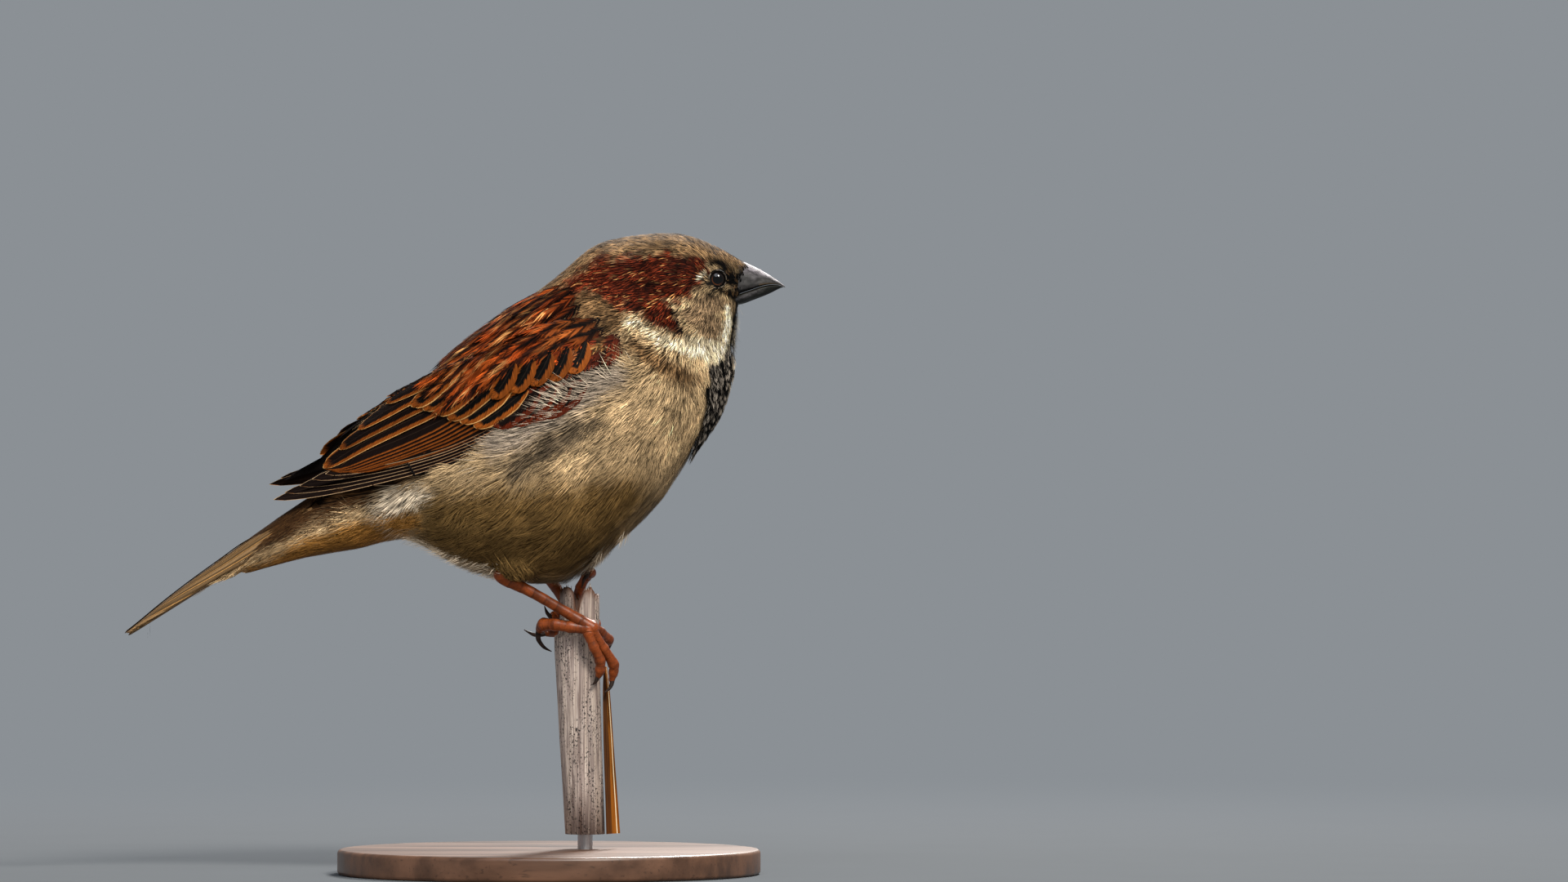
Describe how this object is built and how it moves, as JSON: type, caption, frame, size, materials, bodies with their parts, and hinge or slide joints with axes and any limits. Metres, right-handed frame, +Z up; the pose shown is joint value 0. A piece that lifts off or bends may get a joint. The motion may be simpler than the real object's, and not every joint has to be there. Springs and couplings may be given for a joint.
{
  "type": "house sparrow",
  "caption": "Life-size male house sparrow, wings folded, gripping a short cut length of dry reed on a plain round display stand.",
  "frame": {"origin": "centre of the underside of the stand's round base", "axes": "+X the way the bird faces, from tail to bill; +Y the bird's left; +Z up, along the rod of the stand"},
  "size_m": [0.1313, 0.084, 0.1274],
  "materials": {
    "crown_feathers": "soft grey-brown feathers with chestnut sides",
    "neck_feathers": "soft feathers, chestnut above, pale buff below, black bib in front",
    "body_feathers": "soft grey-buff feathers below, black-streaked rufous mantle above",
    "rump_feathers": "soft grey-brown feathers",
    "wing_feathers": "black-centred feathers with rufous and buff edges",
    "tail_feathers": "grey-brown feathers with pale edges",
    "bill_horn": "dark grey horn, satin",
    "claw_horn": "dark brown horn, satin",
    "eye": "dark brown, wet gloss",
    "leg_skin": "orange-brown scaled skin",
    "reed": "dry, speckled, matt",
    "leaf": "dry golden-brown leaf, matt",
    "stand_wood": "dark satin wood",
    "stand_rod": "satin"
  },
  "bodies": {
    "root": {"head": "crown_feathers", "neck": "neck_feathers", "trunk": "body_feathers", "rump": "rump_feathers", "tail": "tail_feathers", "wing_right": "wing_feathers", "wing_left": "wing_feathers", "bill_upper": "bill_horn", "bill_lower": "bill_horn", "eye_right": "eye", "eye_left": "eye", "thigh_right": "body_feathers", "thigh_left": "body_feathers", "tarsus_right": "leg_skin", "tarsus_left": "leg_skin", "foot_right": "leg_skin", "foot_left": "leg_skin", "claw_hind_right": "claw_horn", "claw_hind_left": "claw_horn", "claw_inner_right": "claw_horn", "claw_inner_left": "claw_horn", "claw_middle_right": "claw_horn", "claw_middle_left": "claw_horn", "claw_outer_right": "claw_horn", "claw_outer_left": "claw_horn", "perch_reed": "reed", "perch_leaf": "leaf", "stand_base": "stand_wood", "stand_rod": "stand_rod"}
  },
  "joints": []
}
